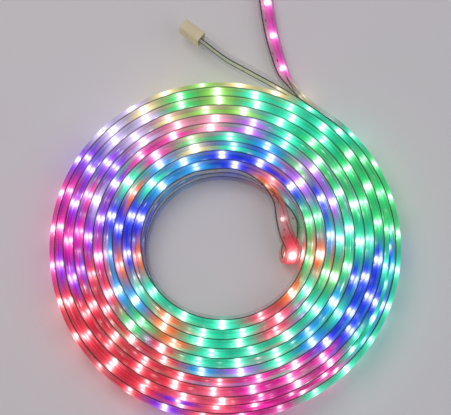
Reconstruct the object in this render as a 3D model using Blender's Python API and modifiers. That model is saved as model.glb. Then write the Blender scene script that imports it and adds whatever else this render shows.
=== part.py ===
"""A clear LED strip light, folded at its middle and wound into a flat coil two layers high.

Metres, +Z up. The strip stands on its edge, its LED side facing away from the coil's axis.
A strip section is drawn in two directions: across (towards the LED side) and along the
strip's width, both measured from the line on which its two conductor wires lie.
"""
import math

import bmesh
import bpy
import numpy as np
from mathutils import Matrix, Vector

mm = 0.001
route_unit = 1.0 * mm            # what the tables of the tails and the fold are measured in

# Strip section
strip_width = 14.0 * mm
strip_thickness = 8.3 * mm
back_depth = 3.4 * mm            # from the wires' line to the flat back
corner = 1.2 * mm
led_pitch = 33.3 * mm
turn_pitch = 8.7 * mm
turn_groove_depth = 2.2 * mm

# Coil
turns = 10
outer_radius = 156.0 * mm
lower_inset = 4.0 * mm           # the lower layer is wound this much tighter
layer_overlap = 0.2 * mm
free_step = 0.15 * mm            # the free stretches lie this much inside the coil's two ends
lower_shift_x = -1.5 * mm
lower_shift_y = 4.5 * mm
coil_steps = 44
station_spacing = 5.0 * mm       # close enough that a twisting stretch keeps its inner clearance

# Inner pieces, in their channel
clearance = 0.3 * mm
circuit_thickness = 0.6 * mm
led_size = 5.0 * mm
led_height = 1.6 * mm
wire_diameter = 1.6 * mm
wire_inset = 1.5 * mm            # from each edge of the strip to the wire beside it
channel_start = 46.0 * mm        # how far from each tail's root its channel begins

# End cap
cap_length = 22.0 * mm
cap_wall = 1.5 * mm
cap_end_wall = 2.5 * mm
cap_corner = 1.0 * mm

# Where a free stretch parts from the coil it starts inside the coil's own turn
root_sink = 2.4 * mm
root_ease = 0.6 * mm
capped_root = 56                 # degrees round the coil
open_root = 51                   # degrees round the coil
root_sink_turn = 10              # degrees before the root
root_ease_turn = 4               # degrees before the root
hairpin_inset = 13.6 * mm        # how far inside the bore's own turn the fold turns over

# Worked out
led_depth = strip_thickness - back_depth
bore_radius = outer_radius - turns * turn_pitch
lower_bore = bore_radius - lower_inset
axis = Vector((0.0, 0.0, 0.0))
lower_axis = Vector((lower_shift_x, lower_shift_y, 0.0))
lower_middle = strip_width / 2
upper_middle = 1.5 * strip_width - layer_overlap
wire_radius = outer_radius - led_depth
end_to_led = led_pitch / 2       # the strip is cut halfway between two LEDs
wire_spacing = strip_width - 2 * wire_inset
high_route = upper_middle - free_step
low_route = lower_middle + free_step
circuit_width = wire_spacing - wire_diameter - 2 * clearance


def clear_scene():
    for item in list(bpy.data.objects):
        bpy.data.objects.remove(item, do_unlink=True)


def make_collection(name):
    collection = bpy.data.collections.new(name)
    bpy.context.scene.collection.children.link(collection)
    return collection


def make_material(name, colour, roughness, metallic=0.0, alpha=1.0):
    material = bpy.data.materials.new(name)
    material.use_nodes = True
    shader = material.node_tree.nodes["Principled BSDF"]
    shader.inputs["Base Color"].default_value = (*colour, 1.0)
    shader.inputs["Roughness"].default_value = roughness
    shader.inputs["Metallic"].default_value = metallic
    shader.inputs["Alpha"].default_value = alpha
    return material


def add_object(name, mesh, material, collection):
    item = bpy.data.objects.new(name, mesh)
    item.data.materials.append(material)
    collection.objects.link(item)
    return item


def smooth_curve(stations, spacing):
    """Points a given spacing apart on a Catmull-Rom curve through rows of numbers."""
    rows = np.asarray(stations, float)
    padded = np.vstack([2 * rows[0] - rows[1], rows, 2 * rows[-1] - rows[-2]])
    samples = []
    for first in range(len(rows) - 1):
        a, b, c, d = padded[first:first + 4]
        for t in np.linspace(0.0, 1.0, 24, endpoint=False):
            samples.append(0.5 * (2 * b + (c - a) * t + (2 * a - 5 * b + 4 * c - d) * t ** 2
                                  + (3 * b - a - 3 * c + d) * t ** 3))
    samples.append(rows[-1])
    samples = np.array(samples)
    steps = np.linalg.norm(np.diff(samples[:, :3], axis=0), axis=1)
    distance = np.concatenate([[0.0], np.cumsum(steps)])
    count = max(2, round(distance[-1] / spacing) + 1)
    wanted = np.linspace(0.0, distance[-1], count)
    return np.column_stack([np.interp(wanted, distance, column) for column in samples.T])


def route_frames(stations, spacing):
    """Places and directions along a route: each station is a point and its LED side's direction."""
    rows = smooth_curve(stations, spacing)
    places = rows[:, :3]
    tangents = np.gradient(places, axis=0)
    tangents /= np.linalg.norm(tangents, axis=1)[:, None]
    across = rows[:, 3:] - (rows[:, 3:] * tangents).sum(axis=1)[:, None] * tangents
    across /= np.linalg.norm(across, axis=1)[:, None]
    return places, across, np.cross(tangents, across)


def loft(name, frames, outline, material, collection):
    """A closed solid: one outline, carried along a route, with flat ends."""
    places, across, along = frames
    mesh = bpy.data.meshes.new(name)
    shape = bmesh.new()
    rings = []
    for place, out, up in zip(places, across, along):
        rings.append([shape.verts.new(place + out * u + up * v) for u, v in outline])
    count = len(outline)
    for near, far in zip(rings, rings[1:]):
        for i in range(count):
            j = (i + 1) % count
            shape.faces.new((near[i], near[j], far[j], far[i]))
    shape.faces.new(list(reversed(rings[0])))
    shape.faces.new(rings[-1])
    bmesh.ops.recalc_face_normals(shape, faces=shape.faces)
    shape.to_mesh(mesh)
    shape.free()
    mesh.shade_smooth()
    mesh.set_sharp_from_angle(angle=math.radians(40))
    return add_object(name, mesh, material, collection)


def chamfered_box(low_u, high_u, low_v, high_v, cut):
    return [(low_u + cut, low_v), (high_u - cut, low_v), (high_u, low_v + cut), (high_u, high_v - cut),
            (high_u - cut, high_v), (low_u + cut, high_v), (low_u, high_v - cut), (low_u, low_v + cut)]


def arc(middle_v, radius, start, end, count):
    """Points of an arc about a place on the wires' line, its angles counted from the width's direction."""
    angles = [start + (end - start) * i / (count - 1) for i in range(count)]
    return [(radius * math.sin(angle), middle_v + radius * math.cos(angle)) for angle in angles]


def round_outline(middle_v, radius, sides=8):
    return arc(middle_v, radius, 0, -2 * math.pi * (sides - 1) / sides, sides)


def grooved_end(inner, outer, height, inward):
    """One end of a layer, bore to rim: each turn's flat edge, with a V between neighbours."""
    points = [(inner, height - inward * corner), (inner + corner, height)]
    for turn in range(1, turns):
        middle = inner + turn * turn_pitch
        points += [(middle - corner, height), (middle, height - inward * turn_groove_depth),
                   (middle + corner, height)]
    return points + [(outer - corner, height), (outer, height - inward * corner)]


def coil_layer(name, bottom, centre, outer, grooved_top, material, collection):
    """A turned layer of the coil, whose turns show on its open end."""
    top = bottom + strip_width
    inner = outer - turns * turn_pitch
    if grooved_top:
        upper = grooved_end(inner, outer, top, 1)
        lower = [(inner, bottom + corner), (inner + corner, bottom),
                 (outer - corner, bottom), (outer, bottom + corner)]
    else:
        upper = [(inner, top - corner), (inner + corner, top),
                 (outer - corner, top), (outer, top - corner)]
        lower = grooved_end(inner, outer, bottom, -1)
    profile = upper + list(reversed(lower))
    mesh = bpy.data.meshes.new(name)
    corners = [(radius, 0.0, height) for radius, height in profile]
    edges = [(i, (i + 1) % len(corners)) for i in range(len(corners))]
    mesh.from_pydata(corners, edges, [])
    item = add_object(name, mesh, material, collection)
    item.location = centre
    screw = item.modifiers.new("Turn", "SCREW")
    screw.angle = 2 * math.pi
    screw.steps = coil_steps
    screw.render_steps = coil_steps
    screw.use_merge_vertices = True
    screw.merge_threshold = 0.00001
    screw.use_smooth_shade = True
    return item


def boolean(target, other, operation, guides):
    change = target.modifiers.new(operation.title(), "BOOLEAN")
    change.operation = operation
    change.solver = "EXACT"
    change.object = other
    for collection in list(other.users_collection):
        collection.objects.unlink(other)
    guides.objects.link(other)
    other.hide_render = True
    other.display_type = "WIRE"


def station(centre, radius, angle, height, facing=None, lean=0):
    """A place on a circle, in degrees, and where the LED side faces there; it leans back to face up."""
    a, t = math.radians(angle), math.radians(lean)
    f = a if facing is None else math.radians(facing)
    return (centre.x + radius * math.cos(a), centre.y + radius * math.sin(a), height,
            math.cos(f) * math.cos(t), math.sin(f) * math.cos(t), math.sin(t))


def off_rim(centre, radius, root, ahead, out, height, turn=0, lean=0):
    """A place measured in route units from a root on the rim, ahead along its tangent and outward."""
    a, t = math.radians(root), math.radians(lean)
    f = a + math.radians(turn)
    radius, ahead = radius + out * route_unit, ahead * route_unit
    return (centre.x + radius * math.cos(a) - ahead * math.sin(a),
            centre.y + radius * math.sin(a) + ahead * math.cos(a), height,
            math.cos(f) * math.cos(t), math.sin(f) * math.cos(t), math.sin(t))


def resting_height(lean):
    """The height at which a leaning strip's low edge just clears the floor."""
    t = math.radians(lean)
    low_side = back_depth if lean > 0 else led_depth
    return strip_width / 2 * math.cos(t) + low_side * abs(math.sin(t)) + free_step


def capped_tail_route():
    """The upper layer's outer end, on edge all the way and straight where the cap goes on."""
    stations = [station(axis, wire_radius - root_sink, capped_root - root_sink_turn, high_route),
                station(axis, wire_radius - root_ease, capped_root - root_ease_turn, high_route)]
    for ahead, out in ((2.0, 0.2), (23.7, 1.3), (47.9, 0.4), (77.2, -1.7), (99.6, -3.0), (123.6, -1.1),
                       (147.6, 0.8)):
        stations.append(off_rim(axis, wire_radius, capped_root, ahead, out, high_route))
    return stations


def open_tail_route():
    """The lower layer's outer end, which leans back until its LED side faces the sky."""
    radius = wire_radius - lower_inset
    stations = [station(lower_axis, radius - root_sink, open_root - root_sink_turn, low_route),
                station(lower_axis, radius - root_ease, open_root - root_ease_turn, low_route)]
    for ahead, out, turn, lean in ((17.0, 2.6, -5, 2), (36.2, 5.7, -14, 10), (52.1, 10.2, -21, 28),
                                   (65.1, 16.0, -31, 46), (92.6, 36.3, -40, 58), (117.0, 58.4, -43, 60),
                                   (146.2, 87.7, -45, 60), (175.6, 117.6, -45, 60)):
        stations.append(off_rim(lower_axis, radius, open_root, ahead, out, resting_height(lean), turn, lean))
    return stations


def fold_route():
    """In at the upper layer's bore, over face up, down round a hairpin and back into the lower layer."""
    radius = bore_radius + back_depth
    stations = [station(axis, radius + root_sink, 98, high_route),
                station(axis, radius + root_ease, 86, high_route)]
    for angle, inset, lift, facing, lean in ((71.7, 2.2, 0.2, 71, 0), (56.3, 4.0, 0.7, 52, 0),
                                             (41.7, 6.5, 1.2, 35, 5), (28.1, 9.6, 1.2, 18, 16),
                                             (12.1, 15.1, 0.6, 0, 46)):
        stations.append(station(axis, radius - inset * route_unit, angle, high_route + lift * route_unit,
                                facing, lean))
    low = led_depth + free_step
    bend = (high_route - low) / 2
    start = station(axis, radius - hairpin_inset, 0, low)
    for turn in (0, 45, 90, 135, 180):
        a = math.radians(turn)
        stations.append((start[0], start[1] - bend * math.sin(a), low + bend * (1 + math.cos(a)),
                         0.0, -math.sin(a), math.cos(a)))
    radius = lower_bore + back_depth
    for angle, inset, facing, lean in ((2.8, 7.8, -4, -80), (12.8, 5.1, -4, -62), (22.2, 0.9, 10, -40),
                                       (37.0, -0.7, 37, 0), (47.0, -2.6, 47, 0)):
        stations.append(station(lower_axis, radius - inset * route_unit, angle, resting_height(lean),
                                facing, lean))
    return stations


def strip_section():
    return chamfered_box(-back_depth, led_depth, -strip_width / 2, strip_width / 2, corner)


def channel_section():
    """The circuit's slot, deeper where the LEDs stand on it and round where the wires end it."""
    half_led = led_size / 2 + clearance
    front = circuit_thickness / 2 + clearance
    led_front = circuit_thickness / 2 + led_height + 2 * clearance
    radius = wire_diameter / 2 + clearance
    meet = math.pi - math.asin(front / radius)
    far_end = arc(wire_spacing / 2, radius, meet, -meet, 8)
    near_end = [(-u, -v) for u, v in far_end]
    return [(led_front, -half_led), (led_front, 0), (led_front, half_led), (front, half_led), *far_end,
            (-front, half_led), (-front, 0), (-front, -half_led), *near_end, (front, -half_led)]


def from_place(frames, start):
    """The stretch of a route that begins at a distance from its root."""
    places = frames[0]
    distance = np.concatenate([[0.0], np.cumsum(np.linalg.norm(np.diff(places, axis=0), axis=1))])
    first = int(np.searchsorted(distance, start))
    return tuple(rows[first:] for rows in frames)


def run_past(frames, length):
    """The same route, run straight on past its end."""
    places, across, along = frames
    step = places[-1] - places[-2]
    beyond = places[-1] + step / np.linalg.norm(step) * length
    return (np.vstack([places, beyond]), np.vstack([across, across[-1:]]),
            np.vstack([along, along[-1:]]))


def seat(frames, from_end):
    """The place and turn of a piece that lies on the route, a distance back from its end."""
    places, across, along = frames
    back = np.concatenate([[0.0], np.cumsum(np.linalg.norm(np.diff(places[::-1], axis=0), axis=1))])
    place = [np.interp(from_end, back, column) for column in places[::-1].T]
    out = [np.interp(from_end, back, column) for column in across[::-1].T]
    up = [np.interp(from_end, back, column) for column in along[::-1].T]
    out = Vector(out).normalized()
    up = (Vector(up) - out * out.dot(Vector(up))).normalized()
    turn = Matrix((out.cross(up), out, up)).transposed().to_4x4()
    return Matrix.Translation(place) @ turn


def box(name, size, matrix, material, collection, cut=0.0):
    """A box: its length runs along the route, then its depth and its width in the section."""
    bpy.ops.mesh.primitive_cube_add(size=1)
    item = bpy.context.object
    for owner in list(item.users_collection):
        owner.objects.unlink(item)
    collection.objects.link(item)
    item.name = name
    item.data.name = name
    item.data.materials.append(material)
    item.data.transform(Matrix.Diagonal((*size, 1)))
    item.matrix_world = matrix
    if cut:
        bevel = item.modifiers.new("Edges", "BEVEL")
        bevel.width = cut
        bevel.segments = 2
    return item


def inner_pieces(prefix, frames, collections, materials, jacket):
    """The channel in one tail, and the circuit, wires and LED packages that lie in it."""
    parts, guides = collections
    channel = run_past(from_place(frames, channel_start), 2 * clearance)
    boolean(jacket, loft(prefix + "_channel", channel, channel_section(), materials["pvc"], guides),
            "DIFFERENCE", guides)
    inner = from_place(frames, channel_start + clearance)
    half, quarter = circuit_width / 2, led_size / 2
    front = [(circuit_thickness / 2, v) for v in (-half, -quarter, 0, quarter, half)]
    loft(prefix + "_circuit", inner, front + [(-u, -v) for u, v in front], materials["circuit"], parts)
    for word, side in (("upper", -1), ("lower", 1)):
        outline = round_outline(side * wire_spacing / 2, wire_diameter / 2)
        loft(f"{prefix}_wire_{word}", inner, outline, materials["wire"], parts)
    length = np.linalg.norm(np.diff(inner[0], axis=0), axis=1).sum()
    standing = circuit_thickness / 2 + clearance + led_height / 2
    for number in range(int((length - end_to_led - led_size) / led_pitch) + 1):
        matrix = seat(inner, end_to_led + number * led_pitch) @ Matrix.Translation((0, standing, 0))
        box(f"{prefix}_led_{number + 1}", (led_size, led_height, led_size), matrix, materials["led"], parts)


def end_cap(frames, collections, material):
    """The cap over the tail's end: a box with rounded edges and the strip's section as its pocket."""
    parts, guides = collections
    body_depth = strip_thickness + 2 * (clearance + cap_wall)
    body_width = strip_width + 2 * (clearance + cap_wall)
    grip = cap_length - cap_end_wall - clearance
    middle = (led_depth - back_depth) / 2
    matrix = seat(frames, 0) @ Matrix.Translation((clearance + cap_end_wall - cap_length / 2, middle, 0))
    cap = box("end_cap", (cap_length, body_depth, body_width), matrix, material, parts, cap_corner)
    grown = chamfered_box(-back_depth - clearance, led_depth + clearance, -strip_width / 2 - clearance,
                          strip_width / 2 + clearance, corner)
    across, along = frames[1:]
    inside = [seat(frames, 0) @ Vector((along_cap, 0, 0)) for along_cap in (-grip - 4 * clearance, clearance)]
    pocket = (np.array(inside), np.array([across[-1]] * 2), np.array([along[-1]] * 2))
    boolean(cap, loft("cap_pocket", pocket, grown, material, guides), "DIFFERENCE", guides)


def centre_on_floor(parts, guides):
    """Moves everything so that the middle of the object's box stands over the origin, on z = 0."""
    bpy.context.view_layer.update()
    depsgraph = bpy.context.evaluated_depsgraph_get()
    corners = []
    for item in parts.objects:
        mesh = item.evaluated_get(depsgraph).to_mesh()
        places = np.empty(len(mesh.vertices) * 3)
        mesh.vertices.foreach_get("co", places)
        turned = places.reshape(-1, 3) @ np.array(item.matrix_world.to_3x3()).T
        corners.append(turned + np.array(item.matrix_world.translation))
    corners = np.vstack(corners)
    low, high = corners.min(axis=0), corners.max(axis=0)
    shift = Vector(((low[0] + high[0]) / 2, (low[1] + high[1]) / 2, low[2]))
    for item in [*parts.objects, *guides.objects]:
        item.location -= shift


def build():
    clear_scene()
    parts = make_collection("led_strip_light")
    guides = make_collection("cutters")
    materials = {
        "pvc": make_material("clear_pvc", (0.80, 0.84, 0.86), 0.18, alpha=0.6),
        "circuit": make_material("white_circuit", (0.86, 0.86, 0.83), 0.45),
        "wire": make_material("dark_wire", (0.05, 0.045, 0.045), 0.5),
        "led": make_material("led_package", (0.93, 0.92, 0.84), 0.35),
        "cap": make_material("cream_cap", (0.82, 0.78, 0.66), 0.4),
    }
    jacket = coil_layer("pvc_jacket", upper_middle - strip_width / 2, axis,
                        outer_radius, True, materials["pvc"], parts)
    lower = coil_layer("lower_layer", 0.0, lower_axis, outer_radius - lower_inset, False,
                       materials["pvc"], guides)
    boolean(jacket, lower, "UNION", guides)
    frames = route_frames(fold_route(), station_spacing)
    boolean(jacket, loft("fold", frames, strip_section(), materials["pvc"], guides), "UNION", guides)
    tails = {"open_tail": route_frames(open_tail_route(), station_spacing),
             "capped_tail": route_frames(capped_tail_route(), station_spacing)}
    for prefix, frames in tails.items():
        boolean(jacket, loft(prefix, frames, strip_section(), materials["pvc"], guides), "UNION", guides)
    for prefix, frames in tails.items():
        inner_pieces(prefix, frames, (parts, guides), materials, jacket)
    end_cap(tails["capped_tail"], (parts, guides), materials["cap"])
    centre_on_floor(parts, guides)


build()
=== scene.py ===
import math

import bpy
import numpy as np
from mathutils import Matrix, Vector


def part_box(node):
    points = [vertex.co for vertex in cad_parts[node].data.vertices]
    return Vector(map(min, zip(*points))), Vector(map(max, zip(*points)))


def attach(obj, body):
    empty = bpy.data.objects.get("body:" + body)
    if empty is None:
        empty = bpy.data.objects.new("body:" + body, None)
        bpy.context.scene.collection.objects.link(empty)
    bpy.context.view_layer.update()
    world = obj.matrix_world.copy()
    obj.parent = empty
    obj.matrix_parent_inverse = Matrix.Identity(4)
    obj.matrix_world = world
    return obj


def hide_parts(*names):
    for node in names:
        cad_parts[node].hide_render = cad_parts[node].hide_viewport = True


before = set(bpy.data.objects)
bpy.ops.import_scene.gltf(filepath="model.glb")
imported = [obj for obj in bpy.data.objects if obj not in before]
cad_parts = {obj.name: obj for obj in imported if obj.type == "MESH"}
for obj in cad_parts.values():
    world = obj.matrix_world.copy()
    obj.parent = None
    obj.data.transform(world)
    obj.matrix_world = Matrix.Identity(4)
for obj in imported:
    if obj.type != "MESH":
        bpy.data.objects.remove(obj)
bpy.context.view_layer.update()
print("frame loaded")

mm = 0.001
outerRadius = 156.0
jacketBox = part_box("pvc_jacket")
coilAxis = np.array([jacketBox[0].x + outerRadius * mm, jacketBox[0].y + outerRadius * mm, 0.0])


# making meshes and materials

def hexToLinear(text):
    # the sRGB curve: straight near black, and a power of 2.4 above
    channels = [int(text[i:i + 2], 16) / 255 for i in (1, 3, 5)]
    return [c / 12.92 if c <= 0.04045 else ((c + 0.055) / 1.055) ** 2.4 for c in channels]


def addNode(tree, kind, settings=None, links=None):
    # settings go to a property of that name, or else to the input; links join an input to an output
    node = tree.nodes.new(kind)
    for key, value in (settings or {}).items():
        if isinstance(key, str) and hasattr(node, key):
            setattr(node, key, value)
        else:
            node.inputs[key].default_value = value
    for key, output in (links or {}).items():
        tree.links.new(output, node.inputs[key])
    return node


def newMaterial(name, hexColour, settings):
    material = bpy.data.materials.new(name)
    material.use_nodes = True
    shader = material.node_tree.nodes["Principled BSDF"]
    shader.inputs["Base Color"].default_value = (*hexToLinear(hexColour), 1)
    for key, value in settings.items():
        shader.inputs[key].default_value = value
    return material, material.node_tree, shader


def makePiece(name, points, faces, material, attributes=None, sharpAngle=40):
    # points in millimetres from the axis; an attribute has one row for each point
    mesh = bpy.data.meshes.new(name)
    mesh.from_pydata((points * mm + coilAxis).tolist(), [], faces)
    for key, values in (attributes or {}).items():
        kind = {1: "FLOAT", 3: "FLOAT_VECTOR", 4: "FLOAT_COLOR"}[values.shape[1]]
        field = {1: "value", 3: "vector", 4: "color"}[values.shape[1]]
        layer = mesh.attributes.new(key, kind, "POINT")
        layer.data.foreach_set(field, values.astype(np.float32).ravel())
    mesh.shade_smooth()
    mesh.set_sharp_from_angle(angle=math.radians(sharpAngle))
    mesh.materials.append(material)
    piece = bpy.data.objects.new(name, mesh)
    bpy.context.scene.collection.objects.link(piece)
    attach(piece, "root")
    return piece


# the strip's section, measured from the line on which its two wires lie

strip = {
    "halfWidth": 7.0,
    "back": 3.4,                 # to the flat back
    "front": 4.9,                # to the crown of the LED side
    "floorGap": 0.15,            # what a leaning stretch keeps from the floor
    "ledPitch": 33.3,
}

# the strip's route, from the capped end to the open end

route = {
    "spacing": 5.0,              # between two stations of a swept piece
    "turnStep": 7.5,             # degrees between the spiral's own stations
    "upperMiddle": 21.15,        # height of the strip's middle in the upper layer
    "lowerMiddle": 7.0,
    "upperRho": 151.75,          # the upper spiral's wire line at the right, turn 0
    "upperPitch": 8.56,
    "upperCentre": (-3.4, 5.0),
    "oval": 0.86,
    "upperStart": -0.13,         # turns clockwise from the right
    "upperEnd": 9.72,
    # how uneven the winding is, and a seed for each
    "unevenRho": (0.4, 3),
    "unevenHeight": (0.25, 5),
    "unevenLean": (0.05, 7),
    # the outermost turn is looser at the lower right: (turns, how far out)
    "slack": ((-0.16, -4.0), (0.0, 1.6), (0.12, 4.6), (0.25, 6.0), (0.37, 3.6), (0.5, -1.3),
              (0.75, 0.3), (1.0, 0.0)),
    "lowerCentre": (-1.5, 4.5),
    "lowerInner": 67.2,
    "lowerOuter": 147.1,
    "lowerFrom": 40.0,           # degrees
    "lowerTurns": 10,
    "lowerTo": 47.0,
    "cappedRoot": (151.1, 56),   # where the capped tail leaves the rim: distance from the axis, degrees
    "cappedHeight": 20.65,
    "openRoot": 51,
    "hairpinOut": 57.2,          # from the axis to the middle of the fold
    "hairpinBend": 7.8,
    "hairpinLean": 14.0,
    "foldLedPlace": (58.5, -5.5, 19.5),
}


def place(centre, radius, angle, height, facing=None, lean=0.0):
    # a place on a circle, and its LED side's direction, which leans back to face up
    a, t = math.radians(angle), math.radians(lean)
    f = a if facing is None else math.radians(facing)
    return (centre[0] + radius * math.cos(a), centre[1] + radius * math.sin(a), height,
            math.cos(f) * math.cos(t), math.sin(f) * math.cos(t), math.sin(t))


def offRim(centre, radius, root, ahead, out, height, turn=0.0, lean=0.0):
    # a place measured from a root on the rim: ahead along its tangent, and outward
    a, t = math.radians(root), math.radians(lean)
    f = a + math.radians(turn)
    radius += out
    return (centre[0] + radius * math.cos(a) - ahead * math.sin(a),
            centre[1] + radius * math.sin(a) + ahead * math.cos(a), height,
            math.cos(f) * math.cos(t), math.sin(f) * math.cos(t), math.sin(t))


def restingHeight(lean):
    # a leaning strip's low edge just clears the floor
    t = math.radians(lean)
    lowSide = strip["back"] if lean > 0 else strip["front"]
    return strip["halfWidth"] * abs(math.cos(t)) + lowSide * abs(math.sin(t)) + strip["floorGap"]


def wander(turns, size, seed):
    # a slow unevenness: three sines of the turn count, with seeded phases
    rates = (0.73, 1.9, 4.3)
    phases = np.random.default_rng(seed).uniform(0, 2 * math.pi, len(rates))
    waves = [np.sin(2 * math.pi * turns * rate + phase) for rate, phase in zip(rates, phases)]
    return size * sum(waves) / len(rates)


def upperSpiral():
    # rho falls by one pitch a turn, clockwise from above; an oval term and the outer turn's slack, blurred by
    # a cosine bell, are added
    turns = np.arange(route["upperStart"], route["upperEnd"], route["turnStep"] / 360)
    angle = -2 * math.pi * turns
    slackAt, slackOut = np.array(route["slack"]).T
    fine = np.linspace(-0.4, 1.4, 361)                  # turns, 0.005 apart
    blur = np.hanning(27)[1:-1]
    padded = np.pad(fine, len(blur) // 2, mode="edge")
    eased = np.convolve(np.interp(padded, slackAt, slackOut), blur / blur.sum(), "valid")
    slack = np.interp(turns, fine, eased)
    rho = (route["upperRho"] - route["upperPitch"] * turns + route["oval"] * np.cos(2 * angle) + slack
           + wander(turns, *route["unevenRho"]))
    x, y = route["upperCentre"]
    height = route["upperMiddle"] + wander(turns, *route["unevenHeight"])
    return np.column_stack([x + rho * np.cos(angle), y + rho * np.sin(angle), height,
                            np.cos(angle), np.sin(angle), wander(turns, *route["unevenLean"])])


def lowerSpiral():
    # the same spiral wound outward, anticlockwise from above
    start, end = route["lowerFrom"], route["lowerTo"] + 360 * route["lowerTurns"]
    degrees = np.arange(start, end, route["turnStep"])
    angle = np.radians(degrees)
    share = (degrees - start) / (end - start)
    radius = route["lowerInner"] + (route["lowerOuter"] - route["lowerInner"]) * share
    x, y = route["lowerCentre"]
    height = np.full(len(angle), route["lowerMiddle"])
    return np.column_stack([x + radius * np.cos(angle), y + radius * np.sin(angle), height,
                            np.cos(angle), np.sin(angle), np.zeros(len(angle))])


def wholeRoute():
    # the tails and the fold are given lists: degrees and radius, or ahead and out, then how they lean
    axis = (0.0, 0.0)
    radius, root = route["cappedRoot"]
    tail = [offRim(axis, radius, root, ahead, out, route["cappedHeight"]) for ahead, out in
            ((147.6, 0.8), (123.6, -1.1), (99.6, -3.0), (77.2, -1.7), (47.9, 0.4), (23.7, 1.3), (2.0, 0.2))]
    strand = [place(axis, radius, angle, height, facing, lean)
              for angle, radius, height, facing, lean in
              ((87.0, 72.4, 21.0, 87, 0), (71.7, 70.3, 21.1, 71, 2), (56.3, 66.9, 21.2, 52, 16),
               (41.7, 62.2, 21.0, 36, 34), (28.1, 56.2, 21.1, 20, 50), (12.1, 55.0, 21.3, 2, 67))]
    # the hairpin: a half circle, LED side outward, in a plane that leans out over the turn beside it
    bend, tip = route["hairpinBend"], math.radians(route["hairpinLean"])
    low = restingHeight(-90 - route["hairpinLean"])
    hairpin = [(route["hairpinOut"] + bend * math.cos(a) * math.sin(tip), -bend * math.sin(a),
                low + bend * math.cos(tip) * (1 + math.cos(a)),
                math.cos(a) * math.sin(tip), -math.sin(a), math.cos(a) * math.cos(tip))
               for a in np.radians([0, 45, 90, 135, 180])]
    under = [place(route["lowerCentre"], radius, angle, restingHeight(lean), facing, lean)
             for angle, radius, facing, lean in
             ((2.8, 58.6, -4, -98), (12.8, 62.4, -4, -78), (22.2, 65.6, 8, -52))]
    radius, root = route["lowerOuter"], route["openRoot"]
    openTail = [offRim(route["lowerCentre"], radius, root, ahead, out, restingHeight(lean), turn, lean)
                for ahead, out, turn, lean in
                ((17.0, 2.6, -5, 2), (36.2, 5.7, -14, 10), (52.1, 10.2, -21, 28),
                 (65.1, 16.0, -31, 46), (92.6, 36.3, -40, 58), (117.0, 58.4, -43, 60),
                 (146.2, 87.7, -45, 60), (175.6, 117.6, -45, 60))]
    return np.vstack([tail, upperSpiral(), strand, hairpin, under, lowerSpiral(), openTail])


def smoothThrough(rows, spacing):
    # a cubic between each two rows, its slopes from the rows beyond, then read at even distances
    padded = np.vstack([2 * rows[0] - rows[1], rows, 2 * rows[-1] - rows[-2]])
    a, b, c, d = (padded[i:len(padded) - 3 + i, None] for i in range(4))
    steps = 12
    t = np.linspace(0, 1, steps, endpoint=False)[None, :, None]
    fine = 0.5 * (2 * b + (c - a) * t + (2 * a - 5 * b + 4 * c - d) * t ** 2
                  + (3 * b - a - 3 * c + d) * t ** 3)
    fine = np.vstack([fine.reshape(-1, rows.shape[1]), rows[-1:]])
    run = np.concatenate([[0], np.cumsum(np.linalg.norm(np.diff(fine[:, :3], axis=0), axis=1))])
    distance = np.linspace(0, run[-1], round(run[-1] / spacing) + 1)
    return np.column_stack([np.interp(distance, run, column) for column in fine.T]), distance


def framesAlong(rows):
    # across is the LED side's direction squared up to the route, and along is at right angles to both
    places = rows[:, :3]
    ahead = np.gradient(places, axis=0)
    ahead /= np.linalg.norm(ahead, axis=1)[:, None]
    across = rows[:, 3:] - (rows[:, 3:] * ahead).sum(axis=1)[:, None] * ahead
    across /= np.linalg.norm(across, axis=1)[:, None]
    return places, across, np.cross(ahead, across)


rows, distance = smoothThrough(wholeRoute(), route["spacing"])
places, across, along = framesAlong(rows)
# where a twisting stretch would dip under the floor, it is lifted on to it
reachDown = [across[:, 2] * u + along[:, 2] * v for u in (-strip["back"], strip["front"])
             for v in (-strip["halfWidth"], strip["halfWidth"])]
places[:, 2] += np.clip(-(places[:, 2] + np.min(reachDown, axis=0)), 0, None)
stripLength = distance[-1]
ledCount = round(stripLength / strip["ledPitch"])
# the pitch is evened out on each side of the fold, so that an LED lies where the hairpin starts to bend
foldAt = distance[np.linalg.norm(places - route["foldLedPlace"], axis=1).argmin()]
foldLed = round(foldAt / strip["ledPitch"] - 0.5)
count = np.interp(distance, [0, foldAt, stripLength], [-0.5, foldLed, ledCount - 0.5])
print(f"route: {stripLength / 1000:.2f} m, {len(places)} stations, {ledCount} LEDs, the fold at {foldLed}")


# the colours of the light

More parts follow.
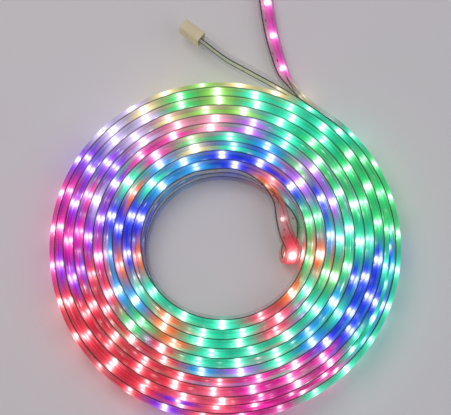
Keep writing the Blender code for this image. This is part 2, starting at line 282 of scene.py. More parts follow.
light = {
    "hues": {"green": "#10d470", "mint": "#30e8b8", "lime": "#98e060", "cream": "#ecdc9c",
             "rose": "#f85878", "red": "#ec2c48", "magenta": "#ee1ca4", "violet": "#8818e8",
             "blue": "#1030f0", "cyan": "#10a0f0", "orange": "#f87030", "lilac": "#b868f0",
             "pearl": "#cfc0f0", "blush": "#f49ab8"},
    # where each hue gathers: degrees round the coil, distance from its axis, reach
    "patches": (
        # the right
        ("green", 12, 146, 24), ("green", 30, 130, 22), ("mint", 42, 142, 16), ("mint", 8, 116, 10),
        ("blue", 0, 132, 8), ("blue", -13, 130, 11), ("cyan", -17, 118, 8), ("cyan", -15, 139, 5),
        ("mint", -8, 151, 7), ("green", -22, 97, 12), ("orange", -5, 92, 9), ("lilac", 17, 97, 10),
        ("cyan", 10, 80, 9), ("green", 22, 76, 8), ("blue", 30, 106, 8), ("lilac", 38, 96, 8),
        ("blue", 48, 83, 6), ("mint", 34, 78, 7), ("rose", 54, 102, 10), ("orange", 57, 76, 7),
        ("mint", -20, 76, 9), ("mint", 58, 126, 14),
        # the top
        ("lime", 82, 130, 10), ("lime", 97, 142, 10), ("cream", 112, 146, 12), ("mint", 76, 136, 7),
        ("cream", 70, 148, 9), ("cream", 86, 150, 7), ("green", 106, 134, 7),
        ("blush", 101, 119, 10), ("magenta", 118, 112, 7), ("cream", 112, 100, 9), ("blue", 95, 84, 8),
        ("blue", 72, 84, 8), ("lilac", 80, 108, 9), ("mint", 84, 96, 6), ("blush", 93, 108, 7),
        ("cyan", 62, 90, 8), ("cyan", 124, 87, 9), ("mint", 140, 97, 8),
        # the left
        ("pearl", 131, 141, 11), ("pearl", 128, 124, 8), ("violet", 140, 126, 8), ("violet", 146, 146, 7),
        ("cyan", 143, 138, 5), ("magenta", 128, 107, 8), ("violet", 152, 112, 9), ("magenta", 157, 131, 8),
        ("magenta", 161, 147, 7), ("cyan", 152, 146, 4), ("blue", 153, 90, 9),
        ("violet", 166, 128, 12), ("magenta", 177, 134, 15), ("violet", 191, 138, 8), ("blue", 164, 100, 8),
        ("cyan", 179, 103, 9), ("blue", 176, 82, 7), ("orange", 190, 96, 6), ("red", 208, 136, 22),
        ("cyan", 201, 96, 10), ("mint", 219, 80, 9), ("green", 222, 98, 8),
        # the bottom
        ("red", 236, 128, 20), ("orange", 235, 90, 9), ("mint", 243, 106, 7), ("violet", 248, 150, 9),
        ("mint", 262, 77, 11), ("mint", 261, 98, 7), ("cyan", 262, 109, 5), ("rose", 262, 128, 14),
        ("magenta", 286, 134, 15), ("mint", 279, 98, 8), ("lilac", 283, 114, 9), ("rose", 297, 76, 9),
        ("mint", 302, 98, 11),
        # the lower right
        ("cyan", -30, 126, 8), ("blue", -24, 136, 7), ("blue", -38, 129, 11), ("mint", -24, 150, 8),
        ("mint", -38, 150, 9), ("mint", -54, 148, 9), ("mint", -36, 102, 10), ("orange", -35, 77, 7),
        ("violet", -42, 85, 7), ("magenta", -51, 131, 9), ("cyan", -51, 111, 8)),
    "farShare": 1e-6,            # what a patch still weighs far away
    "seed": 11,
    "ledDepth": 3.0,             # how far in front of the wires' line an LED shines
    "jitter": 2.0,
    "stray": 0.06,               # the share of LEDs that take a hue of their own
    "strayWithin": 138.0,        # and how far from the axis that may be
    "dullest": 0.8,
    "brightness": (0.45, 1.3),
    "unlit": 165.0,              # the capped stretch stays dark for this far
    "foldShare": 0.35,           # how bright the folded middle is
    "foldDim": (-3, 13),         # from how many LEDs before the fold to how many after it
    "foldLeds": ((0, "red", 1.2), (-1, "rose", 0.3), (-2, "orange", 0.5)),
    "tailHue": "#f040c0",
    "tailFrom": 158.0,           # the open tail starts this far beyond the axis
    "spillReach": 13.0,
    "leak": 0.25,
}


def patchWeights(points):
    # nearness to each patch: a bell of the distance over its reach, and a trace of its inverse square
    names = sorted(light["hues"])
    angle = np.radians([patch[1] for patch in light["patches"]])
    radius, reach = (np.array([patch[i] for patch in light["patches"]], float) for i in (2, 3))
    centres = np.column_stack([radius * np.cos(angle), radius * np.sin(angle)])
    away = np.linalg.norm(points[:, None, :2] - centres[None], axis=2) / reach
    weights = np.exp(-away ** 2) + light["farShare"] / (0.1 + away ** 2)
    table = np.array([hexToLinear(light["hues"][name]) for name in names])
    which = np.array([names.index(patch[0]) for patch in light["patches"]])
    return weights / weights.sum(axis=1)[:, None], table, which


def ledColours():
    # each LED draws its hue from the patches near it, with a seeded choice
    rng = np.random.default_rng(light["seed"])
    number = np.arange(ledCount)
    at = np.interp(number, count, distance)
    fronts = places + light["ledDepth"] * across
    spots = np.column_stack([np.interp(at, distance, column) for column in fronts.T])
    weights, table, which = patchWeights(spots + rng.normal(0, light["jitter"], spots.shape))
    pick = (weights.cumsum(axis=1) > rng.uniform(0, 1, ledCount)[:, None]).argmax(axis=1)
    hue = which[pick]
    inner = np.hypot(spots[:, 0], spots[:, 1]) < light["strayWithin"]
    stray = (rng.uniform(0, 1, ledCount) < light["stray"]) & inner
    hue[stray] = rng.integers(0, len(table), stray.sum())
    colours = table[hue] * rng.uniform(light["dullest"], 1.0, (ledCount, 1))
    bright = rng.uniform(*light["brightness"], ledCount)
    # the open tail is magenta, the capped tail dark, and the folded middle dim but for one red LED
    colours[spots[:, 1] > light["tailFrom"]] = hexToLinear(light["tailHue"])
    bright[at < light["unlit"]] = 0.0
    dimFrom, dimTo = light["foldDim"]
    bright[(number > foldLed + dimFrom) & (number < foldLed + dimTo)] *= light["foldShare"]
    for step, hue, share in light["foldLeds"]:
        colours[foldLed + step] = hexToLinear(light["hues"][hue])
        bright[foldLed + step] = share
    return colours, bright, spots


def glowAlong(colours, bright, spots):
    # own: the colour of the strip's nearest LED, turning over halfway to the next one
    turnover, gain = 2.2, 1.6
    share = count - np.floor(count)
    eased = np.floor(count) + np.clip((share - 0.5) * turnover + 0.5, 0, 1)
    shining = colours * np.minimum(1, bright * gain)[:, None]
    own = np.column_stack([np.interp(eased, np.arange(ledCount), column) for column in shining.T])
    spark = bright[np.clip(np.round(count).astype(int), 0, ledCount - 1)]
    # spill: what reaches the strip's back from the LEDs near it, a bell of their distance; those that
    # stand behind the back face it, and the strip's own circuit hides the others
    behindBack, level, fadeIn, faint, spillGain = 4.0, 1.0, 40.0, 0.05, 1.5
    offset = spots[None] - (places - behindBack * across)[:, None]
    facing = np.where(np.einsum("ijk,ik->ij", offset, across) < level, 1.0, light["leak"])
    weights = np.exp(-(np.linalg.norm(offset, axis=2) / light["spillReach"]) ** 2) * bright * facing
    total = weights.sum(axis=1)[:, None]
    pastDark = np.clip((distance - light["unlit"]) / fadeIn + 0.5, 0, 1)[:, None]
    spill = weights @ colours / (total + faint) * np.minimum(1, total * spillGain) * pastDark
    # crowd: how closely other turns stand, which is what lights the strip's edges; the fold lights its own
    foldReach, foldBlock, foldCrowd, blur = 60.0, 24.0, 0.6, np.ones(9) / 9
    pastTail = np.arange(len(places)) * route["spacing"] > light["unlit"]
    inCoil = pastTail & (np.hypot(places[:, 0], places[:, 1]) < outerRadius)
    inFold = np.abs(distance - foldAt) < foldReach
    crowd = np.convolve(np.pad((inCoil & ~inFold).astype(float), len(blur) // 2, mode="edge"), blur, "valid")
    crowd = np.maximum(crowd, foldCrowd * (np.abs(distance - foldAt) < foldBlock))
    countBehind, there = turnBehind()
    sparkBehind = bright[np.clip(np.round(countBehind).astype(int), 0, ledCount - 1)] * there
    return own, spill, np.column_stack([spark, crowd, sparkBehind]), countBehind[:, None]


def turnBehind():
    # the LED count of the turn next inward: its nearest station, and on from there along its own direction;
    # there says whether a turn stands so close
    target = places - route["upperPitch"] * across
    square = (target ** 2).sum(axis=1)[:, None] + (places ** 2).sum(axis=1) - 2 * target @ places.T
    nearest = square.argmin(axis=1)
    step = np.gradient(places, axis=0)
    onward = ((target - places[nearest]) * step[nearest]).sum(axis=1) / (step[nearest] ** 2).sum(axis=1)
    closeEnough = 5.5
    there = np.linalg.norm(target - places[nearest], axis=1) < closeEnough
    return count[nearest] + onward * np.gradient(count)[nearest], there


ledColour, ledBright, ledSpots = ledColours()
ownGlow, spillGlow, glowState, countBehind = glowAlong(ledColour, ledBright, ledSpots)


# swept pieces

def sweep(outline, first=0, last=None):
    # each point is its station's place plus its two shares of the section's directions; section holds each
    # point's LED count and its place in the outline, and spread its station
    span = slice(first, last)
    u, v = outline.T
    grid = places[span, None] + across[span, None] * u[:, None] + along[span, None] * v[:, None]
    rings, sides = grid.shape[:2]
    i = np.arange(sides)
    j = (i + 1) % sides
    start = np.arange(rings - 1)[:, None] * sides
    quads = np.stack([start + i, start + j, start + sides + j, start + sides + i], axis=-1).reshape(-1, 4)
    faces = quads.tolist() + [i[::-1].tolist(), (i + (rings - 1) * sides).tolist()]
    section = np.stack(np.broadcast_arrays(count[span, None], u[None], v[None]), axis=-1).reshape(-1, 3)
    spread = np.repeat(np.arange(len(places))[span], sides)
    return grid.reshape(-1, 3), faces, section, spread


def withAlpha(colours):
    return np.column_stack([colours, np.ones(len(colours))])


jacket = {
    "crown": 0.4,
    "corner": 1.3,
    "colour": "#b6bac0",
    "alpha": (0.15, 0.75),       # where no light fills it, and where it glows
    "overWire": 0.4,             # the share of that right over the wires
    "windowWidth": 0.9,
    "fullAt": 0.7,               # how strong a glow fills the PVC as far as it goes
    "edgeShare": 0.1,            # an edge's glow where no other turn stands beside it
    "circuitShare": 0.12,        # a face's glow past the circuit's edges, there too
    # painted light: how much of the glow's colour is painted into the PVC's base colour
    "paintedGlow": 0.3,
    "drawLines": 0.35,
    # places in the section, out from the wires' line or up from the middle: from, to
    "ownSide": (-1.0, 1.5),      # the back's light gives way to the strip's own
    "edge": (4.6, 6.0),
    "circuitEdge": (3.7, 4.9),
    # lines of light on an edge: out from the wires' line, width
    "hotLine": (2.0, 1.25),
    "mirrorLine": (-2.6, 1.0),
    "faceSpot": 2.2,             # half the height of the hot spot on the LED side
    "wireShade": (0.93, 0.52),   # how much light the wire keeps off its own line, and how wide
    # strength, and how far along the strip it reaches from an LED
    "glow": (1.2, 10.0),
    "halo": (0.6, 4.2),
    "core": (3.6, 1.9),
    "glowFade": 0.6,             # the share of the glow that fades between LEDs
    "haloPaleness": 0.5,
    "coreWhiteness": 0.62,
    "mirrorShare": 0.8,          # how strong the mirror image of a core is
}


def jacketOutline():
    # quarter circles at the four corners, and a parabola's low crown across the LED side
    half, back = strip["halfWidth"], strip["back"]
    front, r = strip["front"] - jacket["crown"], jacket["corner"]
    quarter = np.linspace(0, math.pi / 2, 4)
    points = []
    for u, v, turn in ((r - back, r - half, math.pi), (front - r, r - half, 1.5 * math.pi),
                       (front - r, half - r, 0.0), (r - back, half - r, 0.5 * math.pi)):
        points.append(np.column_stack([u + r * np.cos(turn + quarter), v + r * np.sin(turn + quarter)]))
    v = np.array([-3.5, 0.0, 3.5])
    crown = np.column_stack([front + jacket["crown"] * (1 - (v / (half - r)) ** 2), v])
    return np.vstack([points[0], points[1], crown, points[2], points[3]])


def bell(tree, value, centre, width):
    # exp(-((value - centre) / width) squared)
    offset = addNode(tree, "ShaderNodeMath", {"operation": "SUBTRACT", 1: centre}, {0: value})
    share = addNode(tree, "ShaderNodeMath", {"operation": "DIVIDE", 1: width}, {0: offset.outputs[0]})
    square = addNode(tree, "ShaderNodeMath", {"operation": "MULTIPLY"},
                     {0: share.outputs[0], 1: share.outputs[0]})
    minus = addNode(tree, "ShaderNodeMath", {"operation": "MULTIPLY", 1: -1.0}, {0: square.outputs[0]})
    return addNode(tree, "ShaderNodeMath", {"operation": "EXPONENT"}, {0: minus.outputs[0]}).outputs[0]


def fromNearestLed(tree, value):
    # millimetres along the strip from the nearest LED: what is left of the LED count, times the pitch
    nearest = addNode(tree, "ShaderNodeMath", {"operation": "ROUND"}, {0: value})
    fraction = addNode(tree, "ShaderNodeMath", {"operation": "SUBTRACT"}, {0: value, 1: nearest.outputs[0]})
    return addNode(tree, "ShaderNodeMath", {"operation": "MULTIPLY", 1: strip["ledPitch"]},
                   {0: fraction.outputs[0]}).outputs[0]


def jacketMaterial():
    # soft clear PVC, extruded over the circuit: glossy, a little cloudy, full of its LEDs' light as painted
    # glow
    material, tree, shader = newMaterial("clearExtrudedPvc", jacket["colour"], {
        "Roughness": 0.22, "IOR": 1.53, "Specular IOR Level": 0.3})
    opaqueWhite = (1.0, 1.0, 1.0, 1.0)
    glowStrength, glowLength = jacket["glow"]
    haloStrength, haloLength = jacket["halo"]
    coreStrength, coreLength = jacket["core"]
    shadeDepth, shadeWidth = jacket["wireShade"]
    section = addNode(tree, "ShaderNodeAttribute", {"attribute_name": "section"})
    own = addNode(tree, "ShaderNodeAttribute", {"attribute_name": "ownGlow"})
    spill = addNode(tree, "ShaderNodeAttribute", {"attribute_name": "spillGlow"})
    state = addNode(tree, "ShaderNodeAttribute", {"attribute_name": "glowState"})
    behind = addNode(tree, "ShaderNodeAttribute", {"attribute_name": "countBehind"})
    stateParts = addNode(tree, "ShaderNodeSeparateXYZ", links={0: state.outputs["Vector"]})
    spark, crowd, sparkBehind = stateParts.outputs
    sectionParts = addNode(tree, "ShaderNodeSeparateXYZ", links={0: section.outputs["Vector"]})
    led, out, up = sectionParts.outputs
    away, awayBehind = (fromNearestLed(tree, value) for value in (led, behind.outputs["Fac"]))
    side = addNode(tree, "ShaderNodeMapRange", {
        "interpolation_type": "SMOOTHSTEP", 1: jacket["ownSide"][0], 2: jacket["ownSide"][1]}, {0: out})
    # painted glow for the white-hot place over each LED: a pair on the edges, the second one a painted
    # reflection in the back of the turn outside, where its mirror image lies, and a round one on the LED side
    short = bell(tree, away, 0.0, coreLength)
    shortBehind = bell(tree, awayBehind, 0.0, coreLength)
    rim = addNode(tree, "ShaderNodeMath", {"operation": "MULTIPLY"},
                  {0: short, 1: bell(tree, out, *jacket["hotLine"])})
    mirror = addNode(tree, "ShaderNodeMath", {"operation": "MULTIPLY"},
                     {0: shortBehind, 1: bell(tree, out, *jacket["mirrorLine"])})
    crowdSpark = addNode(tree, "ShaderNodeMath", {"operation": "MULTIPLY"}, {0: crowd, 1: spark})
    edgeHot = addNode(tree, "ShaderNodeMath", {"operation": "MULTIPLY"},
                      {0: rim.outputs[0], 1: crowdSpark.outputs[0]})
    mirrorHot = addNode(tree, "ShaderNodeMath", {"operation": "MULTIPLY"},
                        {0: mirror.outputs[0], 1: sparkBehind})
    faceHeight = addNode(tree, "ShaderNodeMath", {"operation": "MULTIPLY"},
                         {0: bell(tree, up, 0.0, jacket["faceSpot"]), 1: side.outputs[0]})
    faceShort = addNode(tree, "ShaderNodeMath", {"operation": "MULTIPLY"},
                        {0: short, 1: faceHeight.outputs[0]})
    faceHot = addNode(tree, "ShaderNodeMath", {"operation": "MULTIPLY"}, {0: faceShort.outputs[0], 1: spark})
    height = addNode(tree, "ShaderNodeMath", {"operation": "ABSOLUTE"}, {0: up})
    onEdge = addNode(tree, "ShaderNodeMapRange", {
        "interpolation_type": "SMOOTHSTEP", 1: jacket["edge"][0], 2: jacket["edge"][1]},
        {0: height.outputs[0]})
    hot = addNode(tree, "ShaderNodeMix", {"data_type": "FLOAT"},
                  {0: onEdge.outputs[0], 2: faceHot.outputs[0], 3: edgeHot.outputs[0]})
    core = addNode(tree, "ShaderNodeMath", {"operation": "MULTIPLY", 1: coreStrength}, {0: hot.outputs[0]})
    mirrorEdge = addNode(tree, "ShaderNodeMath", {"operation": "MULTIPLY"},
                         {0: mirrorHot.outputs[0], 1: onEdge.outputs[0]})
    mirrorCore = addNode(tree, "ShaderNodeMath", {
        "operation": "MULTIPLY", 1: jacket["mirrorShare"] * coreStrength}, {0: mirrorEdge.outputs[0]})
    # the coloured glow fades between LEDs, and the wire keeps it off its own line
    long = addNode(tree, "ShaderNodeMix", {"data_type": "FLOAT"}, {
        0: side.outputs[0], 2: bell(tree, awayBehind, 0.0, glowLength), 3: bell(tree, away, 0.0, glowLength)})
    lengthwise = addNode(tree, "ShaderNodeMath", {
        "operation": "MULTIPLY_ADD", 1: jacket["glowFade"], 2: 1.0 - jacket["glowFade"]},
        {0: long.outputs[0]})
    shade = addNode(tree, "ShaderNodeMath", {"operation": "MULTIPLY_ADD", 1: -shadeDepth, 2: 1.0},
                    {0: bell(tree, out, 0.0, shadeWidth)})
    fill = addNode(tree, "ShaderNodeMath", {"operation": "MULTIPLY"},
                   {0: lengthwise.outputs[0], 1: shade.outputs[0]})
    # how much of it a place shows: where no turn stands close, only the part over the circuit is lit
    bare = addNode(tree, "ShaderNodeMath", {"operation": "MAXIMUM", 1: jacket["edgeShare"]}, {0: crowd})
    overCircuit = addNode(tree, "ShaderNodeMapRange", {
        "interpolation_type": "SMOOTHSTEP", 1: jacket["circuitEdge"][0], 2: jacket["circuitEdge"][1],
        3: 1.0, 4: jacket["circuitShare"]}, {0: height.outputs[0]})
    onFace = addNode(tree, "ShaderNodeMath", {"operation": "MAXIMUM"}, {0: overCircuit.outputs[0], 1: crowd})
    reach = addNode(tree, "ShaderNodeMix", {"data_type": "FLOAT"},
                    {0: onEdge.outputs[0], 2: onFace.outputs[0], 3: bare.outputs[0]})
    glow = addNode(tree, "ShaderNodeMath", {"operation": "MULTIPLY"},
                   {0: fill.outputs[0], 1: reach.outputs[0]})
    glowScaled = addNode(tree, "ShaderNodeMath", {"operation": "MULTIPLY", 1: glowStrength},
                         {0: glow.outputs[0]})
    # the back takes its light from the turn inside it
    lightHue = addNode(tree, "ShaderNodeMix", {"data_type": "RGBA"},
                   {0: side.outputs[0], 6: spill.outputs["Color"], 7: own.outputs["Color"]})
    # and round each LED a broad pale patch of painted glow, as wide as the turn
    halo, haloBehind = (addNode(tree, "ShaderNodeMath", {"operation": "MULTIPLY"},
                                {0: bell(tree, apart, 0.0, haloLength), 1: share})
                        for apart, share in ((away, spark), (awayBehind, sparkBehind)))
    haloSide = addNode(tree, "ShaderNodeMix", {"data_type": "FLOAT"},
                       {0: side.outputs[0], 2: haloBehind.outputs[0], 3: halo.outputs[0]})
    haloReach = addNode(tree, "ShaderNodeMath", {"operation": "MULTIPLY", 1: haloStrength},
                        {0: haloSide.outputs[0]})
    haloSeen = addNode(tree, "ShaderNodeMath", {"operation": "MULTIPLY"},
                       {0: haloReach.outputs[0], 1: reach.outputs[0]})
    paler = addNode(tree, "ShaderNodeMath", {
        "operation": "MULTIPLY", 1: jacket["haloPaleness"], "use_clamp": True}, {0: haloSeen.outputs[0]})
    pale = addNode(tree, "ShaderNodeMix", {"data_type": "RGBA", 7: opaqueWhite},
                   {0: paler.outputs[0], 6: lightHue.outputs[2]})
    fuller = addNode(tree, "ShaderNodeMath", {"operation": "MULTIPLY_ADD"},
                     {0: glowScaled.outputs[0], 1: haloSeen.outputs[0], 2: glowScaled.outputs[0]})
    glowColour = addNode(tree, "ShaderNodeVectorMath", {"operation": "SCALE"},
                         {0: pale.outputs[2], "Scale": fuller.outputs[0]})
    white = addNode(tree, "ShaderNodeMix", {"data_type": "RGBA", 0: jacket["coreWhiteness"], 7: opaqueWhite},
                    {6: own.outputs["Color"]})
    coreColour = addNode(tree, "ShaderNodeVectorMath", {"operation": "SCALE"},
                         {0: white.outputs[2], "Scale": core.outputs[0]})
    whiteBehind = addNode(tree, "ShaderNodeMix", {
        "data_type": "RGBA", 0: jacket["coreWhiteness"], 7: opaqueWhite}, {6: spill.outputs["Color"]})
    mirrorColour = addNode(tree, "ShaderNodeVectorMath", {"operation": "SCALE"},
                           {0: whiteBehind.outputs[2], "Scale": mirrorCore.outputs[0]})
    hotTotal = addNode(tree, "ShaderNodeVectorMath", {"operation": "ADD"},
                       {0: mirrorColour.outputs[0], 1: coreColour.outputs[0]})
    total = addNode(tree, "ShaderNodeVectorMath", {"operation": "ADD"},
                    {0: glowColour.outputs[0], 1: hotTotal.outputs[0]})
    # painted glow: the PVC's emission stands in for the LEDs' light scattered in it
    tree.links.new(total.outputs[0], shader.inputs["Emission Color"])
    shader.inputs["Emission Strength"].default_value = 1.0
    # painted light: where a stretch is full of light, the glow's colour is painted into its base colour,
    # because it scatters more of its own colour than of the room's
    glare = addNode(tree, "ShaderNodeVectorMath", {"operation": "LENGTH"}, {0: lightHue.outputs[2]})
    paintedGlow = addNode(tree, "ShaderNodeVectorMath", {"operation": "SCALE", "Scale": jacket["paintedGlow"]},
                  {0: lightHue.outputs[2]})
    paintedGlowAmount = addNode(tree, "ShaderNodeMapRange", {2: jacket["fullAt"]}, {0: glare.outputs["Value"]})
    body = addNode(tree, "ShaderNodeMix", {"data_type": "RGBA", 6: (*hexToLinear(jacket["colour"]), 1)},
                   {0: paintedGlowAmount.outputs[0], 7: paintedGlow.outputs[0]})
    tree.links.new(body.outputs[2], shader.inputs["Base Color"])
    filled = addNode(tree, "ShaderNodeMath", {"operation": "MULTIPLY"},
                     {0: glare.outputs["Value"], 1: reach.outputs[0]})
    clear = addNode(tree, "ShaderNodeMapRange", {
        2: jacket["fullAt"], 3: jacket["alpha"][0], 4: jacket["alpha"][1]}, {0: filled.outputs[0]})
    window = addNode(tree, "ShaderNodeMath", {
        "operation": "MULTIPLY_ADD", 1: jacket["overWire"] - 1.0, 2: 1.0},
        {0: bell(tree, out, 0.0, jacket["windowWidth"])})
    seen = addNode(tree, "ShaderNodeMath", {"operation": "MULTIPLY"},
                   {0: clear.outputs[0], 1: window.outputs[0]})
    tree.links.new(seen.outputs[0], shader.inputs["Alpha"])
    # the die's faint draw lines run along the strip, about 1 mm apart and 60 mm long
    stretched = addNode(tree, "ShaderNodeVectorMath", {"operation": "MULTIPLY", 1: (0.55, 1.0, 1.0)},
                        {0: section.outputs["Vector"]})
    lines = addNode(tree, "ShaderNodeTexNoise", {"Scale": 1.0, "Detail": 3.0},
                    {"Vector": stretched.outputs[0]})
    bump = addNode(tree, "ShaderNodeBump", {"Strength": jacket["drawLines"], "Distance": 0.0003},
                   {"Height": lines.outputs["Fac"]})
    tree.links.new(bump.outputs[0], shader.inputs["Normal"])
    return material


points, faces, section, spread = sweep(jacketOutline())
stripJacket = makePiece("stripJacket", points, faces, jacketMaterial(), {
    "section": section, "ownGlow": withAlpha(ownGlow[spread]), "spillGlow": withAlpha(spillGlow[spread]),
    "glowState": glowState[spread], "countBehind": countBehind[spread]})
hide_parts("pvc_jacket")
print("jacket made")


wires = {
    "spacing": 11.0,
    "diameter": 1.1,
    "sides": 8,
    "colour": "#17131a",
    "grain": 900.0,              # of the sheath's noise: about one grain a millimetre
}


def wireMaterial():
    # stranded conductor in a thin dark sheath: nearly black, with a faint satin line
    material, tree, shader = newMaterial("darkSheathedWire", wires["colour"], {"Roughness": 0.45})
    coordinates = addNode(tree, "ShaderNodeTexCoord")
    grain = addNode(tree, "ShaderNodeTexNoise", {"Scale": wires["grain"], "Detail": 2.0},
                    {"Vector": coordinates.outputs["Object"]})
    bump = addNode(tree, "ShaderNodeBump", {"Strength": 0.2, "Distance": 0.0001},
                   {"Height": grain.outputs["Fac"]})
    tree.links.new(bump.outputs[0], shader.inputs["Normal"])
    return material


# the upper and lower wire: a circle carried along the route, above or below the strip's middle
wireLook = wireMaterial()
turn = np.linspace(0, 2 * math.pi, wires["sides"], endpoint=False)
circle = np.column_stack([np.cos(turn), np.sin(turn)]) * wires["diameter"] / 2
for word, side in (("upper", -1), ("lower", 1)):
    points, faces, *_ = sweep(circle + (0, side * wires["spacing"] / 2))
    wire = makePiece(word + "Wire", points, faces, wireLook)
    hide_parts("capped_tail_wire_" + word, "open_tail_wire_" + word)
print("wires made")


circuit = {
    "width": 8.8,
    "thickness": 0.3,
    "colour": "#e8e6dc",
    "copper": "#c08850",
    "padLength": 1.5,
    "padAt": (2.6, 0.9),         # each pad's place from the film's middle, and its width
    "padCut": 0.4,               # the level at which a pad's edge is cut
}


def circuitMaterial():
    # thin polyester film under white solder resist, printed and cut: matt white with copper pads between LEDs
    material, tree, shader = newMaterial("whiteSolderResist", circuit["colour"], {"Roughness": 0.5})
    section = addNode(tree, "ShaderNodeAttribute", {"attribute_name": "section"})
    split = addNode(tree, "ShaderNodeSeparateXYZ", links={0: section.outputs["Vector"]})
    halfway = addNode(tree, "ShaderNodeMath", {"operation": "ADD", 1: 0.5}, {0: split.outputs[0]})
    away = fromNearestLed(tree, halfway.outputs[0])
    inside = addNode(tree, "ShaderNodeMath", {"operation": "ABSOLUTE"}, {0: split.outputs[2]})
    pads = addNode(tree, "ShaderNodeMath", {"operation": "MULTIPLY"},
                   {0: bell(tree, away, 0.0, circuit["padLength"]),
                    1: bell(tree, inside.outputs[0], *circuit["padAt"])})
    edge = addNode(tree, "ShaderNodeMath", {"operation": "GREATER_THAN", 1: circuit["padCut"]},
                   {0: pads.outputs[0]})
    mix = addNode(tree, "ShaderNodeMix", {"data_type": "RGBA", 6: (*hexToLinear(circuit["colour"]), 1),
                                          7: (*hexToLinear(circuit["copper"]), 1)}, {0: edge.outputs[0]})
    tree.links.new(mix.outputs[2], shader.inputs["Base Color"])
    return material


half, thin = circuit["width"] / 2, circuit["thickness"] / 2
points, faces, section, _ = sweep(np.array([(-thin, -half), (thin, -half), (thin, half), (-thin, half)]))
filmCircuit = makePiece("filmCircuit", points, faces, circuitMaterial(), {"section": section})
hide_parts("capped_tail_circuit", "open_tail_circuit")
print("circuit made")


# small pieces, one at each LED

def seats(offset):
    # the place and directions of every LED, moved along the route by an offset
    at = np.clip(np.interp(np.arange(ledCount), count, distance) + offset, 0, stripLength)
    spot, out, up = (np.column_stack([np.interp(at, distance, column) for column in table.T])
                     for table in (places, across, along))
    out /= np.linalg.norm(out, axis=1)[:, None]
    up -= (up * out).sum(axis=1)[:, None] * out
    up /= np.linalg.norm(up, axis=1)[:, None]
    return spot, np.cross(out, up), out, up


def stackRings(rings, offset, name, material, attributes=None):
    # rings of one shape, bottom to top, each point (run, out, up); every LED gets a copy of the shape
    softAngle = 30
    rings = np.array(rings)
    layers, sides = rings.shape[:2]
    run, out, up = (rings[..., i].ravel() for i in range(3))
    spot, runDirection, outDirection, upDirection = seats(offset)
    grid = (spot[:, None] + runDirection[:, None] * run[:, None] + outDirection[:, None] * out[:, None]
            + upDirection[:, None] * up[:, None])
    i = np.arange(sides)
    j = (i + 1) % sides
    start = np.arange(layers - 1)[:, None] * sides
    one = np.stack([start + i, start + sides + i, start + sides + j, start + j], axis=-1).reshape(-1, 4)
    copies = (np.arange(ledCount) * layers * sides)[:, None, None]
    faces = (one[None] + copies).reshape(-1, 4).tolist()
    faces += (i[None] + copies[:, 0]).tolist()
    faces += (i[::-1][None] + (layers - 1) * sides + copies[:, 0]).tolist()
    spreads = {key: np.repeat(values, layers * sides, axis=0) for key, values in (attributes or {}).items()}
    return makePiece(name, grid.reshape(-1, 3), faces, material, spreads, softAngle)


leds = {
    "size": 5.0,
    "base": 0.2,                 # from the circuit's middle to the package's foot
    "top": 1.8,
    "bevel": 0.2,
    "cutCorner": 0.5,
    "cup": 2.0,                  # the radius of the round cup that the lens fills
    "cupDepth": 0.45,
    "lensCrown": 0.05,
    "housing": "#f0eee4",
    "housingStrength": 0.6,
    "lens": "#fff6d8",
    "lensStrength": 6.0,
    "lensWhiteness": 0.65,
}


def squareRing(halfSize, out):
    # a square with its corners cut off
    a, b = halfSize, halfSize - leds["cutCorner"]
    return [(-b, out, -a), (b, out, -a), (a, out, -b), (a, out, b),
            (b, out, a), (-b, out, a), (-a, out, b), (-a, out, -b)]


def roundRing(radius, out):
    # an octagon whose corners face those of the square
    turn = np.radians(-112.5 + 45 * np.arange(8))
    return [(radius * math.cos(a), out, radius * math.sin(a)) for a in turn]


def housingMaterial():
    # moulded white nylon, satin; a painted glow in its own LED's colour stands in for that light falling on
    # it
    material, tree, shader = newMaterial("mouldedLedHousing", leds["housing"], {"Roughness": 0.35})
    lightHue = addNode(tree, "ShaderNodeAttribute", {"attribute_name": "lightHue"})
    tree.links.new(lightHue.outputs["Color"], shader.inputs["Emission Color"])
    shader.inputs["Emission Strength"].default_value = leds["housingStrength"]
    return material


def lensMaterial():
    # cast silicone over the three chips: white-hot in the middle, tinted at its edge
    material, tree, shader = newMaterial("castSiliconeLens", leds["lens"], {"Roughness": 0.2, "IOR": 1.41})
    lightHue = addNode(tree, "ShaderNodeAttribute", {"attribute_name": "lightHue"})
    tree.links.new(lightHue.outputs["Color"], shader.inputs["Emission Color"])
    shader.inputs["Emission Strength"].default_value = leds["lensStrength"]
    return material


# the housing from its foot to the bottom of its cup, and the lens from there to its crown
half, top, cup, crown = leds["size"] / 2, leds["top"], leds["cup"], leds["lensCrown"]
cupFoot, white = top - leds["cupDepth"], leds["lensWhiteness"]
glowTint = withAlpha(ledColour * ledBright[:, None])
hotTint = withAlpha(((1 - white) * ledColour + white) * ledBright[:, None])
housings = stackRings([squareRing(half, leds["base"]), squareRing(half, top - leds["bevel"]),
                       squareRing(half - leds["bevel"], top), roundRing(cup, top),
                       roundRing(cup - 0.3, cupFoot)],
                      0.0, "ledHousings", housingMaterial(), {"lightHue": glowTint})
stackRings([roundRing(cup - 0.35, cupFoot + crown), roundRing(cup - 0.1, top - crown),
            roundRing(cup / 2, top + crown)],
           0.0, "ledLenses", lensMaterial(), {"lightHue": hotTint})
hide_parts(*[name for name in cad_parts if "_led_" in name])

resistors = {"length": 2.0, "width": 1.25, "height": 0.5, "foot": 0.15, "fromLed": 9.5, "colour": "#1b1b20"}


def blockRing(out):
    a, b = resistors["length"] / 2, resistors["width"] / 2
    return [(-a, out, -b), (a, out, -b), (a, out, b), (-a, out, b)]


# fired glass over a thick-film resistor: nearly black and glossy
resistorLook, *_ = newMaterial("resistorGlaze", resistors["colour"], {"Roughness": 0.3})
stackRings([blockRing(resistors["foot"]), blockRing(resistors["foot"] + resistors["height"])],
           resistors["fromLed"], "resistors", resistorLook)
print("LEDs made")


# the end cap

